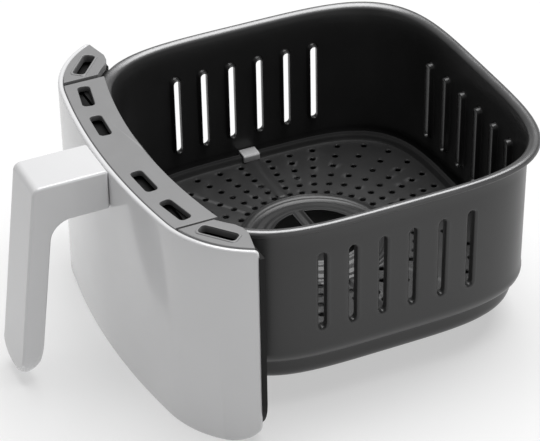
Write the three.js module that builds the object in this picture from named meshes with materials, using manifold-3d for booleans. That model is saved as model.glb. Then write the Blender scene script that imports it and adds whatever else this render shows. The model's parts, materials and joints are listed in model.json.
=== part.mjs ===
// Pull-out basket drawer of an air fryer: a non-stick basket with a lift-out crisper plate,
// hung behind a curved front panel that carries an L-shaped handle and a vented top trim.
// Millimetres. +Z is up, the handle points to -Y, and the origin is the centre of the
// basket's flat underside.
import * as THREE from 'three';
import { mergeVertices } from 'three/addons/utils/BufferGeometryUtils.js';
import Module from 'manifold-3d';

const wasm = await Module();
wasm.setup();

// ---------- Driving dimensions ----------
const GAP = 0.3;                 // clearance left between pieces that touch
const RAD = Math.PI / 180;

// Basket: a deep-drawn sheet whose plan is a squircle.
const SQUARENESS = 4.1;          // exponent of the squircle
const SHEET = 1.5;
const WALL_HALF = 110;           // half-width outside, just above the shoulder
const RIM_HALF = 117.2;
const RIM_TOP = 119.8;
const BEAD_RADIUS = 2.3;
const FOOT_HALF = 102;           // half-width of the foot below the shoulder
const FOOT_DEPTH_SCALE = 1.045;  // the foot is a little deeper front to back
const FOOT_RADIUS = 10;
const SHOULDER_Z = 29;           // where the shoulder meets the straight wall
const SHOULDER_RADIUS = 14;
const SHOULDER_TURN = 62;        // degrees that the shoulder turns before the crease above the foot
const PLAN_SEGMENTS = 64;

// Air slots in the basket's side and back walls.
const SIDE_SLOT_PITCH = 19.65;
const BACK_SLOT_PITCH = 20.6;
const SLOT_COUNT = 6;
const SLOT_WIDTH = 5.8;
const SLOT_BOTTOM = 40.7;
const SLOT_TOP = 95.9;

// Crisper plate: a shallow perforated tray held by four silicone bumpers.
const PLATE_HALF = 105;
const PLATE_FLOOR = 23.8;        // top of the perforated floor
const PLATE_RIM = 27.4;          // top of the raised rim
const PLATE_SHEET = 1.2;
const HOLE_RADIUS = 2;
const HOLE_ROWS = [60.9, 77.7, 94.5];
const HOLE_LINES = 10;           // radial lines of holes in each quarter
const FIRST_LINE = 6;            // degrees between the rib and the first line of holes
const LINE_STEP = 9;
const HUB_INNER = 9;
const HUB_OUTER = 28.5;
const BUMPER_WIDTH = 11.6;

// Front panel: a wide arc that tightens towards both ends.
const PANEL_FRONT = -143.5;
const PANEL_RADIUS = 480;
const CORNER_RADIUS = 68;
const CORNER_START = 80;         // half-width of the wide arc
const PANEL_END = -98.7;         // the panel stops at this Y
const PANEL_WALL = 3.4;
const PANEL_TOP = 124.7;
const PANEL_BOTTOM = -13.3;
const PANEL_HALF = 131.5;
const PANEL_CORNER = 13;

// Rear cover: the plate that closes the back of the panel.
const COVER_WALL = 3;
const COVER_BACK = -118;
const COVER_FLAT_HALF = 80.8;
const COVER_TIP_BACK = -95.4;
const COVER_TIP_START = 103.3;
const COVER_TIP_HALF = 130.6;
const COVER_BOTTOM = -10.5;
const COVER_TOP = 119.8;
const COVER_CORNER = 26;

// Top trim: a vented crescent between the panel and the basket's rim.
const TRIM_UNDER = 120.2;
const TRIM_TOP = 124.2;
const TRIM_END_TOP = 125.6;
const TRIM_INNER = -112.4;
const TRIM_INNER_RADIUS = 370;
const SEAM_X = 88;
const SEAM_HALF = 1.1;

// Handle: a horizontal arm and a grip that leans outwards.
const HANDLE_HALF = 17.1;
const HANDLE_WALL = 2.6;
const ARM_ROOT = -143.9;
const ARM_TOP = 125.4;
const ARM_UNDER = 99;
const GRIP_TOP_Y = -190.6;
const GRIP_DEPTH = 13.6;
const GRIP_BOTTOM = -10;
const GRIP_END_RADIUS = 15;        // the grip's end, seen from the front
const GRIP_EDGE_RADIUS = 6.4;      // the grip's end, seen from the side
const KNUCKLE_RADIUS = 5;          // where the arm turns down into the grip
const FILLET = 14;                 // the same turn on the finger side
const GRIP_LEAN = 7.2 * RAD;
const CORE_HALF = 10;

// ---------- Materials ----------
function finish(colour, roughness, metalness) {
  return new THREE.MeshStandardMaterial({ color: colour, roughness, metalness });
}
const WHITE_PLASTIC = [0xdcdcdc, 0.28, 0];
const GREY_PLASTIC = [0x959595, 0.5, 0];
const DARK_PLASTIC = [0x303030, 0.55, 0];
const NON_STICK = [0x2a2a2b, 0.42, 0.2];
const SILICONE = [0xb4b4b4, 0.6, 0];
const STEEL = [0xa8a8aa, 0.35, 0.9];

// ---------- Solids ----------
function signedVolume(position, index) {
  const a = new THREE.Vector3();
  const b = new THREE.Vector3();
  const c = new THREE.Vector3();
  let volume = 0;
  for (let i = 0; i < index.length; i += 3) {
    a.fromBufferAttribute(position, index[i]);
    b.fromBufferAttribute(position, index[i + 1]);
    c.fromBufferAttribute(position, index[i + 2]);
    volume += a.dot(b.cross(c)) / 6;
  }
  return volume;
}

// Turns a closed three.js geometry into a solid whose faces point outwards.
function solid(geometry) {
  const bare = geometry.clone();
  bare.deleteAttribute('normal');
  bare.deleteAttribute('uv');
  const merged = mergeVertices(bare, 1e-4);
  const corners = Array.from(merged.index.array);
  const kept = [];
  for (let i = 0; i < corners.length; i += 3) {
    const [a, b, c] = corners.slice(i, i + 3);
    if (a !== b && b !== c && c !== a) {
      kept.push(a, b, c);
    }
  }
  if (signedVolume(merged.attributes.position, kept) < 0) {
    kept.reverse();
  }
  return new wasm.Manifold(new wasm.Mesh({
    numProp: 3,
    vertProperties: new Float32Array(merged.attributes.position.array),
    triVerts: new Uint32Array(kept),
  }));
}

function geometryOf(body) {
  const mesh = body.getMesh();
  const geometry = new THREE.BufferGeometry();
  geometry.setAttribute('position', new THREE.BufferAttribute(mesh.vertProperties, 3));
  geometry.setIndex(new THREE.BufferAttribute(mesh.triVerts, 1));
  geometry.computeVertexNormals();
  return geometry;
}

function arc(centreX, centreY, radius, from, to, steps) {
  const points = [];
  for (let i = 0; i <= steps; i += 1) {
    const angle = (from + (to - from) * i / steps) * RAD;
    points.push([centreX + radius * Math.cos(angle), centreY + radius * Math.sin(angle)]);
  }
  return points;
}

function extrude(outline, depth) {
  const shape = new THREE.Shape(outline.map(([x, y]) => new THREE.Vector2(x, y)));
  return new THREE.ExtrudeGeometry(shape, { depth, bevelEnabled: false });
}

// A plan outline in X and Y, standing between two heights.
function upright(outline, low, high) {
  return solid(extrude(outline, high - low).translate(0, 0, low));
}

// A front-view outline in X and Z, running between two values of Y.
function frontal(outline, low, high) {
  return solid(extrude(outline, high - low).rotateX(90 * RAD).translate(0, high, 0));
}

// A side-view outline in Y and Z, running between two values of X.
function sideways(outline, low, high) {
  const turn = new THREE.Matrix4().makeBasis(
    new THREE.Vector3(0, 1, 0),
    new THREE.Vector3(0, 0, 1),
    new THREE.Vector3(1, 0, 0),
  );
  return solid(extrude(outline, high - low).applyMatrix4(turn).translate(low, 0, 0));
}

function box(xLow, xHigh, yLow, yHigh, zLow, zHigh) {
  return solid(new THREE.BoxGeometry(xHigh - xLow, yHigh - yLow, zHigh - zLow).translate(
    (xLow + xHigh) / 2,
    (yLow + yHigh) / 2,
    (zLow + zHigh) / 2,
  ));
}

// A round rod along Y.
function rodAlongY(radius, x, z, yLow, yHigh, sides = 16) {
  const rod = new THREE.CylinderGeometry(radius, radius, yHigh - yLow, sides);
  return solid(rod.translate(x, (yLow + yHigh) / 2, z));
}

function roundedBox(halfWidth, low, high, radius, steps = 5) {
  return [
    ...arc(halfWidth - radius, low + radius, radius, -90, 0, steps),
    ...arc(halfWidth - radius, high - radius, radius, 0, 90, steps),
    ...arc(-halfWidth + radius, high - radius, radius, 90, 180, steps),
    ...arc(-halfWidth + radius, low + radius, radius, 180, 270, steps),
  ];
}

function stadium(centre, low, high, width, steps = 5) {
  const radius = width / 2;
  return [
    ...arc(centre, high - radius, radius, 0, 180, steps),
    ...arc(centre, low + radius, radius, 180, 360, steps),
  ];
}

// How far a squircle reaches in a direction, as a multiple of its half-width.
function squircleReach(angle) {
  const across = Math.abs(Math.cos(angle)) ** SQUARENESS;
  const along = Math.abs(Math.sin(angle)) ** SQUARENESS;
  return (across + along) ** (-1 / SQUARENESS);
}

// Turns a profile of [half-width, height] pairs round a squircle instead of a circle.
function squircleSolid(profile, depthScale = () => 1) {
  const closed = [...profile, profile[0]].map(([r, z]) => new THREE.Vector2(r, z));
  const geometry = new THREE.LatheGeometry(closed, PLAN_SEGMENTS).rotateX(90 * RAD);
  const position = geometry.attributes.position;
  for (let i = 0; i < position.count; i += 1) {
    const x = position.getX(i);
    const y = position.getY(i);
    const z = position.getZ(i);
    const reach = Math.hypot(x, y) > 1e-6 ? squircleReach(Math.atan2(y, x)) : 1;
    position.setXYZ(i, x * reach, y * reach * depthScale(z), z);
  }
  return solid(geometry);
}

// ---------- The drawer as a scene graph ----------
const drawer = new THREE.Group();

function add(name, body, look, parent = drawer) {
  const [colour, roughness, metalness] = look;
  const mesh = new THREE.Mesh(geometryOf(body), finish(colour, roughness, metalness));
  mesh.name = name;
  parent.add(mesh);
  return mesh;
}

// ---------- Basket ----------
const RIVET_RADIUS = 2;
const RIVETS = { upper_left: [-36, 94], upper_right: [36, 94], lower_left: [-36, 62], lower_right: [36, 62] };
const BRACKET_BACK = -111.1;
const BRACKET_FRONT = COVER_BACK + GAP;
const BRACKET_SHEET = 2;
const BRACKET_HALF = 52;
const BOLTS = { upper_left: [-42, 106], upper_right: [42, 106], lower_left: [-42, 49], lower_right: [42, 49] };
const BOLT_RADIUS = 2;

function basketPan() {
  const wallTop = WALL_HALF + 0.7;
  const shoulder = WALL_HALF - SHOULDER_RADIUS;
  const beadCentre = RIM_HALF - BEAD_RADIUS;
  const footCentre = FOOT_HALF - FOOT_RADIUS;
  const crease = SHOULDER_Z - SHOULDER_RADIUS;
  const outside = [
    [0, 0],
    ...arc(footCentre, FOOT_RADIUS, FOOT_RADIUS, -90, 0, 4),
    [FOOT_HALF, crease],
    ...arc(shoulder, SHOULDER_Z, SHOULDER_RADIUS, -SHOULDER_TURN, 0, 6),
    [wallTop, RIM_TOP - 12],
    ...arc(beadCentre, RIM_TOP - BEAD_RADIUS, BEAD_RADIUS, -60, 150, 5),
  ];
  const inside = [
    [wallTop - SHEET, RIM_TOP - 11],
    ...arc(shoulder, SHOULDER_Z, SHOULDER_RADIUS - SHEET, 0, -SHOULDER_TURN, 6),
    [FOOT_HALF - SHEET, crease + 1],
    ...arc(footCentre, FOOT_RADIUS, FOOT_RADIUS - SHEET, 0, -90, 3),
    [0, SHEET],
  ];
  const depthScale = (z) => {
    const below = THREE.MathUtils.clamp((SHOULDER_Z - z) / SHOULDER_RADIUS, 0, 1);
    return 1 + (FOOT_DEPTH_SCALE - 1) * below;
  };
  let pan = squircleSolid([...outside, ...inside], depthScale);
  for (let i = 0; i < SLOT_COUNT; i += 1) {
    const step = i - (SLOT_COUNT - 1) / 2;
    const sideSlot = stadium(step * SIDE_SLOT_PITCH, SLOT_BOTTOM, SLOT_TOP, SLOT_WIDTH, 4);
    const backSlot = stadium(step * BACK_SLOT_PITCH, SLOT_BOTTOM, SLOT_TOP, SLOT_WIDTH, 4);
    pan = pan.subtract(sideways(sideSlot, -RIM_HALF, RIM_HALF));
    pan = pan.subtract(frontal(backSlot, 0, RIM_HALF));
  }
  for (const [x, z] of Object.values(RIVETS)) {
    pan = pan.subtract(rodAlongY(RIVET_RADIUS + GAP, x, z, -RIM_HALF, -WALL_HALF + 8, 10));
  }
  return pan;
}

// A hat section pressed from sheet: its web meets the basket, its flanges the rear cover.
function basketBracket() {
  const flange = BRACKET_FRONT + BRACKET_SHEET;
  const web = BRACKET_BACK - BRACKET_SHEET;
  const outline = [
    [BRACKET_FRONT, 112], [flange, 112], [flange, 102], [BRACKET_BACK, 102],
    [BRACKET_BACK, 54], [flange, 54], [flange, 44], [BRACKET_FRONT, 44],
    [BRACKET_FRONT, 56], [web, 56], [web, 100], [BRACKET_FRONT, 100],
  ];
  let bracket = sideways(outline, -BRACKET_HALF, BRACKET_HALF);
  for (const [x, z] of Object.values(RIVETS)) {
    bracket = bracket.subtract(rodAlongY(RIVET_RADIUS + GAP, x, z, web - 1, BRACKET_BACK + 1, 10));
  }
  for (const [x, z] of Object.values(BOLTS)) {
    const hole = rodAlongY(BOLT_RADIUS + GAP, x, z, BRACKET_FRONT - 1, flange + 1, 10);
    bracket = bracket.subtract(hole);
  }
  return bracket;
}

// A set rivet: a wide head inside the basket and a smaller one behind the web.
function basketRivet(x, z) {
  const headFace = -WALL_HALF + 2.1;
  const tailFace = BRACKET_BACK - BRACKET_SHEET - GAP;
  const shank = rodAlongY(RIVET_RADIUS, x, z, tailFace - 1.2, headFace + 1.4, 12);
  const head = rodAlongY(RIVET_RADIUS * 2, x, z, headFace, headFace + 1.5, 12);
  const tail = rodAlongY(RIVET_RADIUS * 1.6, x, z, tailFace - 1.3, tailFace, 12);
  return shank.add(head).add(tail);
}

// A pan-head screw along Y. The head sits on a face and the shank runs into the piece.
function screw(radius, length, x, z, face, side) {
  const seat = face + side * GAP;
  const crown = seat + side * radius * 1.2;
  const tip = seat - side * length;
  const head = rodAlongY(radius * 2, x, z, Math.min(seat, crown), Math.max(seat, crown), 14);
  const shank = rodAlongY(radius, x, z, Math.min(tip, crown), Math.max(tip, crown), 12);
  return head.add(shank);
}

add('basket_pan', basketPan(), NON_STICK);
add('basket_bracket', basketBracket(), STEEL);
for (const [place, [x, z]] of Object.entries(RIVETS)) {
  add(`basket_rivet_${place}`, basketRivet(x, z), STEEL);
}

// ---------- Crisper plate, which lifts out with its bumpers ----------
const crisper = new THREE.Group();
drawer.add(crisper);

function sector(inner, outer, from, to, steps) {
  return [...arc(0, 0, outer, from, to, steps), ...arc(0, 0, inner, to, from, steps)];
}

function crisperPlate() {
  const floorUnder = PLATE_FLOOR - PLATE_SHEET;
  const profile = [
    [0, floorUnder], [PLATE_HALF - 3.8, floorUnder], [PLATE_HALF - 2.6, PLATE_RIM - PLATE_SHEET],
    [PLATE_HALF, PLATE_RIM - PLATE_SHEET], [PLATE_HALF, PLATE_RIM],
    [PLATE_HALF - 3.4, PLATE_RIM], [PLATE_HALF - 4.6, PLATE_FLOOR], [0, PLATE_FLOOR],
  ];
  const plate = squircleSolid(profile);
  const holes = [];
  for (const row of HOLE_ROWS) {
    const towardsRim = (row - HOLE_ROWS[0]) / (HOLE_ROWS[2] - HOLE_ROWS[0]);
    for (let line = 0; line < HOLE_LINES; line += 1) {
      const angle = (FIRST_LINE + line * LINE_STEP) * RAD;
      const reach = row * (1 + (squircleReach(angle) - 1) * towardsRim);
      for (const [alongX, alongY] of [[1, 1], [1, -1], [-1, 1], [-1, -1]]) {
        const drill = new THREE.CylinderGeometry(HOLE_RADIUS, HOLE_RADIUS, 6, 6).rotateX(90 * RAD);
        drill.translate(alongX * reach * Math.cos(angle), alongY * reach * Math.sin(angle), PLATE_FLOOR);
        holes.push(solid(drill));
      }
    }
  }
  for (let quarter = 0; quarter < 4; quarter += 1) {
    const clear = 14;            // degrees from a spoke's middle to the window beside it
    const outline = sector(HUB_INNER, HUB_OUTER, quarter * 90 + clear, quarter * 90 + 90 - clear, 6);
    holes.push(upright(outline, floorUnder - 1, PLATE_FLOOR + 1));
  }
  return plate.subtract(wasm.Manifold.union(holes));
}

// A silicone clip that bridges the rim and rests on the basket's shoulder.
function plateBumper(turn) {
  const top = PLATE_RIM + 1.9;
  const section = [
    [PLATE_HALF - 6.6, top], [PLATE_HALF - 6.6, PLATE_FLOOR + 0.4], [PLATE_HALF - 5.1, PLATE_FLOOR + 0.5],
    [PLATE_HALF - 3.9, PLATE_RIM + 0.4], [PLATE_HALF + 0.35, PLATE_RIM + 0.4],
    [PLATE_HALF + 0.35, PLATE_FLOOR - 2.6], [PLATE_HALF + 1.4, PLATE_FLOOR - 1.2],
    [PLATE_HALF + 2.9, PLATE_RIM - 0.8], [PLATE_HALF + 2.9, top],
  ];
  const clip = extrude(section, BUMPER_WIDTH).translate(0, 0, -BUMPER_WIDTH / 2);
  return solid(clip.rotateX(90 * RAD).rotateZ(turn * RAD));
}

add('crisper_plate', crisperPlate(), NON_STICK, crisper);
for (const [side, turn] of Object.entries({ right: 0, back: 90, left: 180, front: 270 })) {
  add(`plate_bumper_${side}`, plateBumper(turn), SILICONE, crisper);
}

// ---------- Front panel and rear cover ----------
const COVER_SCREWS = {
  upper_left: [-113, 96], upper_right: [113, 96], lower_left: [-113, 18], lower_right: [113, 18],
};
const COVER_SCREW_RADIUS = 1.7;
const POST_RADIUS = 4.4;
const HANDLE_SCREWS = { left: -6.5, right: 6.5 };
const HANDLE_SCREW_RADIUS = 1.9;
const HANDLE_SCREW_Z = 112;

// The panel's plan curve from left to right, moved inwards and stopped at a given Y.
function panelCurve(inset, end = PANEL_END) {
  const start = Math.asin(CORNER_START / PANEL_RADIUS) / RAD;
  const middleY = PANEL_FRONT + PANEL_RADIUS;
  const reach = PANEL_RADIUS - CORNER_RADIUS;
  const cornerX = reach * Math.sin(start * RAD);
  const cornerY = middleY - reach * Math.cos(start * RAD);
  const corner = CORNER_RADIUS - inset;
  const stop = Math.acos((cornerY - end) / corner) / RAD;
  const middle = arc(0, middleY, PANEL_RADIUS - inset, -90 - start, -90 + start, 12);
  return [
    ...arc(-cornerX, cornerY, corner, -90 - stop, -90 - start, 10),
    ...middle.slice(1, -1),
    ...arc(cornerX, cornerY, corner, -90 + start, -90 + stop, 10),
  ];
}

function frontPanel() {
  const plan = [...panelCurve(0), ...panelCurve(PANEL_WALL).reverse()];
  const face = roundedBox(PANEL_HALF, PANEL_BOTTOM, PANEL_TOP + 2 * PANEL_CORNER, PANEL_CORNER, 6);
  const within = upright(panelCurve(PANEL_WALL / 2), PANEL_BOTTOM, PANEL_TOP);
  let panel = upright(plan, PANEL_BOTTOM, PANEL_TOP);
  const postEnd = COVER_TIP_BACK - COVER_WALL - GAP;
  for (const [x, z] of Object.values(COVER_SCREWS)) {
    const post = rodAlongY(POST_RADIUS, x, z, PANEL_FRONT, postEnd, 14);
    panel = panel.add(post.intersect(within));
  }
  for (const [x, z] of Object.values(COVER_SCREWS)) {
    panel = panel.subtract(rodAlongY(COVER_SCREW_RADIUS + GAP, x, z, -111.5, postEnd + 1, 10));
  }
  for (const x of Object.values(HANDLE_SCREWS)) {
    const hole = rodAlongY(HANDLE_SCREW_RADIUS + GAP, x, HANDLE_SCREW_Z, PANEL_FRONT - 5, -130, 10);
    panel = panel.subtract(hole);
  }
  return panel.intersect(frontal(face, PANEL_FRONT - 10, 0));
}

// The cover follows the basket: flat in the middle, slanted, then flat again at each tip.
function coverLine(forward) {
  const slide = forward * 0.4;
  return [
    [-COVER_TIP_HALF, COVER_TIP_BACK - forward], [-COVER_TIP_START - slide, COVER_TIP_BACK - forward],
    [-COVER_FLAT_HALF - slide, COVER_BACK - forward], [COVER_FLAT_HALF + slide, COVER_BACK - forward],
    [COVER_TIP_START + slide, COVER_TIP_BACK - forward], [COVER_TIP_HALF, COVER_TIP_BACK - forward],
  ];
}

function rearCover() {
  const front = coverLine(COVER_WALL);
  const wall = upright([...coverLine(0), ...front.reverse()], COVER_BOTTOM, COVER_TOP);
  const edge = panelCurve(PANEL_WALL + GAP, COVER_TIP_BACK - COVER_WALL);
  const floorPlan = [...edge, ...coverLine(COVER_WALL - 0.5).slice(1, -1).reverse()];
  const face = roundedBox(COVER_TIP_HALF, COVER_BOTTOM, COVER_TOP + 60, COVER_CORNER, 8);
  let cover = wall.add(upright(floorPlan, COVER_BOTTOM, COVER_BOTTOM + COVER_WALL));
  const behind = COVER_TIP_BACK + 1;
  for (const [x, z] of Object.values(COVER_SCREWS)) {
    cover = cover.subtract(rodAlongY(COVER_SCREW_RADIUS + GAP, x, z, behind - 8, behind, 10));
  }
  for (const [x, z] of Object.values(BOLTS)) {
    cover = cover.subtract(rodAlongY(BOLT_RADIUS + GAP, x, z, COVER_BACK - 8, COVER_BACK + 1, 10));
  }
  return cover.intersect(frontal(face, PANEL_FRONT, 0));
}

add('front_panel', frontPanel(), WHITE_PLASTIC);
add('rear_cover', rearCover(), DARK_PLASTIC);
for (const [place, [x, z]] of Object.entries(COVER_SCREWS)) {
  add(`cover_screw_${place}`, screw(COVER_SCREW_RADIUS, 15, x, z, COVER_TIP_BACK, 1), STEEL);
}
for (const [place, [x, z]] of Object.entries(BOLTS)) {
  const face = COVER_BACK - COVER_WALL;
  add(`bracket_bolt_${place}`, screw(BOLT_RADIUS, COVER_WALL + 3.4, x, z, face, -1), STEEL);
}

// ---------- Top trim: a middle section and a raised section at each end ----------
const VENT_WIDTH = 6.8;
const VENT_LENGTH = 22;
const TRIM_VENTS = [[34, -126.2, 4], [69.5, -121.6, 12]];
const END_VENT = [104, -108.2, 40];

function vent([x, y, turn]) {
  const half = VENT_LENGTH / 2;
  const outline = roundedBox(half, -VENT_WIDTH / 2, VENT_WIDTH / 2, 2.6, 3);
  const slot = extrude(outline, 20).rotateZ(turn * RAD).translate(x, y, TRIM_UNDER - 10);
  return solid(slot);
}

function mirrored([x, y, turn]) {
  return [-x, y, -turn];
}

function trimMiddle() {
  const spread = Math.asin(SEAM_X / TRIM_INNER_RADIUS) / RAD;
  const middleY = TRIM_INNER + TRIM_INNER_RADIUS;
  const innerEdge = arc(0, middleY, TRIM_INNER_RADIUS, -90 + spread, -90 - spread, 12);
  const edge = panelCurve(PANEL_WALL + GAP).filter(([x]) => Math.abs(x) < SEAM_X + 12);
  const reach = SEAM_X - SEAM_HALF;
  let trim = upright([...edge, ...innerEdge], TRIM_UNDER, TRIM_TOP);
  trim = trim.intersect(box(-reach, reach, PANEL_FRONT, 0, 0, RIM_TOP + 20));
  for (const place of TRIM_VENTS) {
    trim = trim.subtract(vent(place)).subtract(vent(mirrored(place)));
  }
  return trim;
}

function trimEnd(side) {
  const back = COVER_TIP_BACK - 0.2;
  const innerEdge = [[110, back], [104, back - 0.8], [99, back - 3.6], [94, back - 8.4], [84, back - 13]];
  const edge = panelCurve(PANEL_WALL + GAP, back).filter(([x]) => x > SEAM_X - 8);
  const plan = [...edge, ...innerEdge].map(([x, y]) => [side * x, y]);
  const start = SEAM_X + SEAM_HALF;
  const kept = side > 0 ? [start, PANEL_HALF] : [-PANEL_HALF, -start];
  const place = side > 0 ? END_VENT : mirrored(END_VENT);
  const trim = upright(plan, TRIM_UNDER, TRIM_END_TOP);
  return trim.intersect(box(kept[0], kept[1], PANEL_FRONT, 0, 0, RIM_TOP + 20)).subtract(vent(place));
}

add('top_trim', trimMiddle(), GREY_PLASTIC);
add('trim_end_left', trimEnd(-1), GREY_PLASTIC);
add('trim_end_right', trimEnd(1), GREY_PLASTIC);

// ---------- Handle: outer shell, inner lid, steel core and its fasteners ----------
const LID_END = GRIP_BOTTOM + 14;

function outerFace(z) {
  return GRIP_TOP_Y - Math.tan(GRIP_LEAN) * (ARM_TOP - z);
}

function innerFace(z) {
  return outerFace(z) + GRIP_DEPTH / Math.cos(GRIP_LEAN);
}

// Rounds the corners of an outline given as [x, y, radius].
function rounded(corners, steps = 5) {
  const points = [];
  corners.forEach(([x, y, radius], i) => {
    const before = corners[(i + corners.length - 1) % corners.length];
    const after = corners[(i + 1) % corners.length];
    const here = new THREE.Vector2(x, y);
    const back = new THREE.Vector2(before[0], before[1]).sub(here).normalize();
    const ahead = new THREE.Vector2(after[0], after[1]).sub(here).normalize();
    if (radius === 0) {
      points.push([x, y]);
      return;
    }
    const half = Math.acos(THREE.MathUtils.clamp(back.dot(ahead), -1, 1)) / 2;
    const run = radius / Math.tan(half);
    const start = here.clone().addScaledVector(back, run);
    const stop = here.clone().addScaledVector(ahead, run);
    const curve = new THREE.QuadraticBezierCurve(start, here, stop);
    curve.getPoints(steps).forEach((point) => points.push([point.x, point.y]));
  });
  return points;
}

function handleProfile(inset) {
  const lean = inset / Math.cos(GRIP_LEAN);
  const top = ARM_TOP - inset;
  const under = ARM_UNDER + inset;
  const bottom = GRIP_BOTTOM + inset;
  return rounded([
    [ARM_ROOT, top, 0],
    [outerFace(top) + lean, top, KNUCKLE_RADIUS - inset / 2],
    [outerFace(bottom) + lean, bottom, GRIP_EDGE_RADIUS - inset],
    [innerFace(bottom) - lean, bottom, GRIP_EDGE_RADIUS - inset],
    [innerFace(under) - lean, under, FILLET + inset],
    [ARM_ROOT, under, 0],
  ]);
}

// The space on the finger side of the handle, down to the end of the lid.
function fingerSide(inset, end) {
  const under = ARM_UNDER + inset;
  const lean = inset / Math.cos(GRIP_LEAN);
  return rounded([
    [ARM_ROOT + 2, under, 0],
    [innerFace(under) - lean, under, FILLET + inset],
    [innerFace(end) - lean, end, 0],
    [ARM_ROOT + 2, end, 0],
  ]);
}

function tongue(inset) {
  const half = HANDLE_HALF - inset;
  const radius = GRIP_END_RADIUS - inset;
  return frontal(roundedBox(half, GRIP_BOTTOM + inset, ARM_TOP + 60, radius, 6), -240, -100);
}

function handleSolid(inset) {
  const half = HANDLE_HALF - inset;
  return sideways(handleProfile(inset), -half, half).intersect(tongue(inset));
}

// A rod square to the grip's leaning inner face, measured from that face.
function gripRod(radius, from, to, z, sides = 12) {
  const rod = new THREE.CylinderGeometry(radius, radius, to - from, sides);
  rod.translate(0, (from + to) / 2, 0).rotateX(-GRIP_LEAN);
  return solid(rod.translate(0, innerFace(z), z));
}

const GRIP_SCREWS = { upper: 74, lower: 26 };
const GRIP_SCREW_RADIUS = 1.5;
const CORE_THICKNESS = 5;
const CORE_ARM = [108, 116];
const CORE_END = 14;

function outerShell() {
  const slot = HANDLE_HALF - HANDLE_WALL;
  const hollow = handleSolid(HANDLE_WALL).add(
    box(-slot, slot, ARM_ROOT - 4, ARM_ROOT + 1, ARM_UNDER + HANDLE_WALL, ARM_TOP - HANDLE_WALL),
  );
  const opening = sideways(fingerSide(HANDLE_WALL, LID_END), -slot, slot);
  return handleSolid(0).subtract(hollow).subtract(opening);
}

function innerLid() {
  const half = HANDLE_HALF - HANDLE_WALL - GAP;
  const region = sideways(fingerSide(HANDLE_WALL - GAP, LID_END + GAP), -half, half);
  let lid = handleSolid(0).intersect(region);
  for (const z of Object.values(GRIP_SCREWS)) {
    lid = lid.subtract(gripRod(GRIP_SCREW_RADIUS + GAP, -6, 4, z, 10));
  }
  return lid;
}

function handleCore() {
  const middle = (z) => (outerFace(z) + innerFace(z)) / 2;
  const half = CORE_THICKNESS / 2;
  const [low, high] = CORE_ARM;
  const root = ARM_ROOT - 0.4;
  const outline = [
    [root, high], [middle(high) - half, high], [middle(CORE_END) - half, CORE_END],
    [middle(CORE_END) + half, CORE_END], [middle(low) + half, low], [root, low],
  ];
  let core = sideways(outline, -CORE_HALF, CORE_HALF);
  for (const z of Object.values(GRIP_SCREWS)) {
    core = core.subtract(gripRod(GRIP_SCREW_RADIUS + GAP, -12, 0, z, 10));
  }
  for (const x of Object.values(HANDLE_SCREWS)) {
    const hole = rodAlongY(HANDLE_SCREW_RADIUS + GAP, x, HANDLE_SCREW_Z, root - 16, root + 1, 10);
    core = core.subtract(hole);
  }
  return core;
}

const PLATE_FACE = PANEL_FRONT + PANEL_WALL + 0.6;
const BACKING_SHEET = 2;

function backingPlate() {
  let plate = box(-15, 15, PLATE_FACE, PLATE_FACE + BACKING_SHEET, 102, 118);
  for (const x of Object.values(HANDLE_SCREWS)) {
    const hole = rodAlongY(HANDLE_SCREW_RADIUS + GAP, x, HANDLE_SCREW_Z, PLATE_FACE - 1, -130, 10);
    plate = plate.subtract(hole);
  }
  return plate;
}

add('handle_outer_shell', outerShell(), WHITE_PLASTIC);
add('handle_inner_lid', innerLid(), WHITE_PLASTIC);
add('handle_core', handleCore(), STEEL);
add('handle_backing_plate', backingPlate(), STEEL);
for (const [side, x] of Object.entries(HANDLE_SCREWS)) {
  const face = PLATE_FACE + BACKING_SHEET;
  add(`handle_screw_${side}`, screw(HANDLE_SCREW_RADIUS, 19, x, HANDLE_SCREW_Z, face, 1), STEEL);
}
for (const [place, z] of Object.entries(GRIP_SCREWS)) {
  const head = gripRod(GRIP_SCREW_RADIUS * 2.2, GAP, GAP + 1.6, z, 14);
  add(`grip_screw_${place}`, head.add(gripRod(GRIP_SCREW_RADIUS, -9, GAP + 1, z, 12)), STEEL);
}

export default drawer;
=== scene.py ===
# %% [markdown]
# # The basket drawer of an air fryer
# The drawer hangs a non-stick basket behind a curved white front panel with an L-shaped handle. The packed
# model fixes every size, place and motion. This lesson gives each visible piece its fine surface and finish.
# We load the model first and keep its box, because nothing made later may grow past it.

# %% Load the frame
import json
import math
import bmesh
import bpy
from mathutils import Matrix, Vector


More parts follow.
